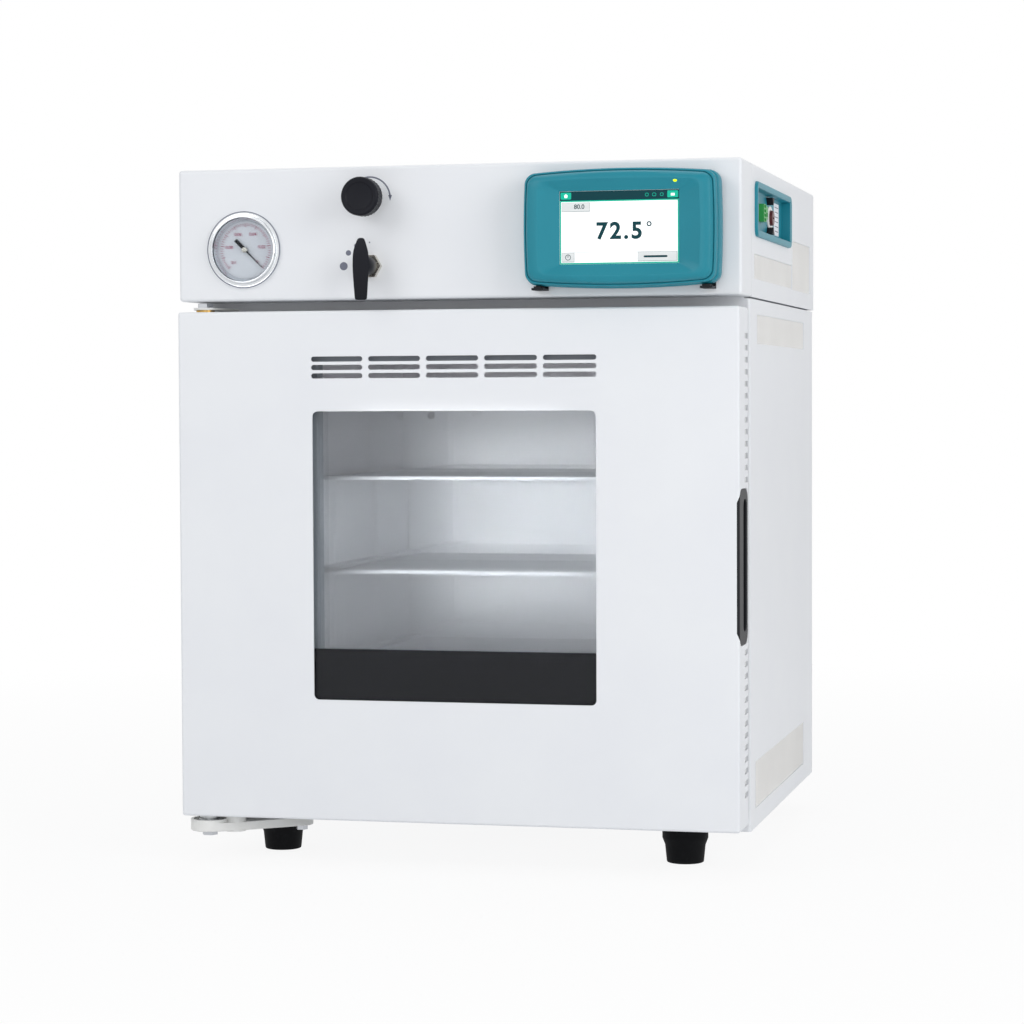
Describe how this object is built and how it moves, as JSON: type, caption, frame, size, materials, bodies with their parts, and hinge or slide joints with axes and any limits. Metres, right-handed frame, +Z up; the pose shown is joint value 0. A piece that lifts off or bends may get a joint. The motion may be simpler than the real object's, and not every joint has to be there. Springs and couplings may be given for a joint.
{
  "type": "vacuum oven",
  "caption": "Bench vacuum oven with a hinged glass door, bent-plate shelves, vacuum gauge, vent and vacuum valves and a touch controller.",
  "frame": {"origin": "centre of the overall box on the bench surface, under the feet", "axes": "+X to the right and +Y to the back as seen from the front, +Z up"},
  "size_m": [0.533, 0.549, 0.646],
  "materials": {
    "white_powder_coat": "fine-textured powder coat",
    "stainless_steel": "brushed",
    "sheet_aluminium": "satin, polished edges",
    "zinc_steel": "zinc plated",
    "nickel_brass": "nickel plated",
    "brass": "machined",
    "chrome": "polished",
    "silicone_seal": "moulded, matt",
    "black_rubber": "moulded, matt",
    "glass_wool": "matted fibre",
    "heater_silicone": "moulded, matt",
    "clear_glass": "polished",
    "tinted_glass": "polished, smoked",
    "black_plastic": "fine moulded grain",
    "teal_plastic": "satin lacquer",
    "white_plastic": "moulded",
    "green_plastic": "moulded",
    "red_plastic": "moulded",
    "screen_glass": "glossy display",
    "led_lens": "diffusing lens",
    "dial_white": "printed",
    "circuit_board": "solder mask"
  },
  "bodies": {
    "cabinet": {"base_plate": "zinc_steel", "side_panel_left": "white_powder_coat", "side_panel_right": "white_powder_coat", "ventilation_grilles": "white_plastic", "top_deck": "white_powder_coat", "front_plate": "stainless_steel", "rear_panel": "white_powder_coat", "feet": "black_rubber", "vacuum_chamber": "stainless_steel", "chamber_gasket": "silicone_seal", "insulation_blanket": "glass_wool", "heater_mats": "heater_silicone", "temperature_probe": "stainless_steel", "magnet_keepers": "zinc_steel", "hinge_bracket_bottom": "white_powder_coat", "hinge_bracket_top": "white_powder_coat", "hinge_bolts": "zinc_steel", "hinge_washers": "stainless_steel", "control_front_panel": "white_powder_coat", "control_chassis": "zinc_steel", "control_cover": "white_powder_coat", "control_rear_panel": "white_powder_coat", "display_bracket": "black_plastic", "display_housing": "teal_plastic", "display_fascia": "teal_plastic", "touch_screen": "screen_glass", "status_led": "led_lens", "gauge_case": "chrome", "gauge_bezel": "chrome", "gauge_lens": "clear_glass", "gauge_dial": "dial_white", "vent_valve": "nickel_brass", "vacuum_valve": "nickel_brass", "vacuum_tubes": "stainless_steel", "port_housing": "teal_plastic", "terminal_block": "green_plastic", "limiter_escutcheon": "white_plastic", "power_inlet": "black_plastic", "circuit_breaker": "black_plastic", "vacuum_port": "stainless_steel", "vent_inlet": "nickel_brass", "control_electronics": "circuit_board"},
    "door": {"door_outer_skin": "white_powder_coat", "door_inner_pan": "stainless_steel", "door_outer_glass": "tinted_glass", "window_frame": "black_plastic", "door_inner_glass": "clear_glass", "glass_retainers": "stainless_steel", "door_handle": "black_plastic", "door_hinge_blocks": "zinc_steel", "hinge_bushes": "brass", "door_magnets": "black_plastic"},
    "vent_stem": {"vent_stem": "nickel_brass"},
    "vent_knob": {"vent_knob": "black_plastic"},
    "vacuum_lever": {"vacuum_lever": "black_plastic"},
    "gauge_pointer": {"gauge_pointer": "black_plastic"},
    "limiter_dial": {"limiter_dial": "red_plastic"},
    "breaker_rocker": {"breaker_rocker": "black_plastic"},
    "shelf_lower": {"shelf_lower": "sheet_aluminium"},
    "shelf_upper": {"shelf_upper": "sheet_aluminium"}
  },
  "joints": [
    {"name": "door_hinge", "type": "hinge", "parent": "cabinet", "child": "door", "pos_m": [-0.245, -0.2215, 0.29], "axis": [0, 0, -1], "range_deg": [0, 125]},
    {"name": "vent_stem_lift", "type": "slide", "parent": "cabinet", "child": "vent_stem", "axis": [0, -1, 0], "range_m": [0, 0.002]},
    {"name": "vent_knob_turn", "type": "hinge", "parent": "vent_stem", "child": "vent_knob", "pos_m": [-0.0793, -0.2625, 0.6163], "axis": [0, -1, 0], "range_deg": [0, 720]},
    {"name": "vacuum_lever_turn", "type": "hinge", "parent": "cabinet", "child": "vacuum_lever", "pos_m": [-0.0793, -0.2625, 0.5543], "axis": [0, -1, 0], "range_deg": [0, 90]},
    {"name": "gauge_pointer_turn", "type": "hinge", "parent": "cabinet", "child": "gauge_pointer", "pos_m": [-0.2006, -0.2355, 0.5714], "axis": [0, -1, 0], "range_deg": [0, 270], "stiffness_Nm_per_rad": 0.0005},
    {"name": "limiter_dial_turn", "type": "hinge", "parent": "cabinet", "child": "limiter_dial", "pos_m": [0.261, -0.0325, 0.60425], "axis": [1, 0, 0], "range_deg": [0, 270]},
    {"name": "breaker_rocker_tilt", "type": "hinge", "parent": "cabinet", "child": "breaker_rocker", "pos_m": [0.15, 0.2416, 0.562], "axis": [-1, 0, 0], "range_deg": [0, 24]},
    {"name": "shelf_lower_slide", "type": "slide", "parent": "cabinet", "child": "shelf_lower", "axis": [0, -1, 0], "range_m": [0, 0.018]},
    {"name": "shelf_upper_slide", "type": "slide", "parent": "cabinet", "child": "shelf_upper", "axis": [0, -1, 0], "range_m": [0, 0.018]}
  ],
  "couplings": [
    {"joint": "vent_stem_lift", "follows": "vent_knob_turn", "m_per_rad": 0.000159}
  ]
}
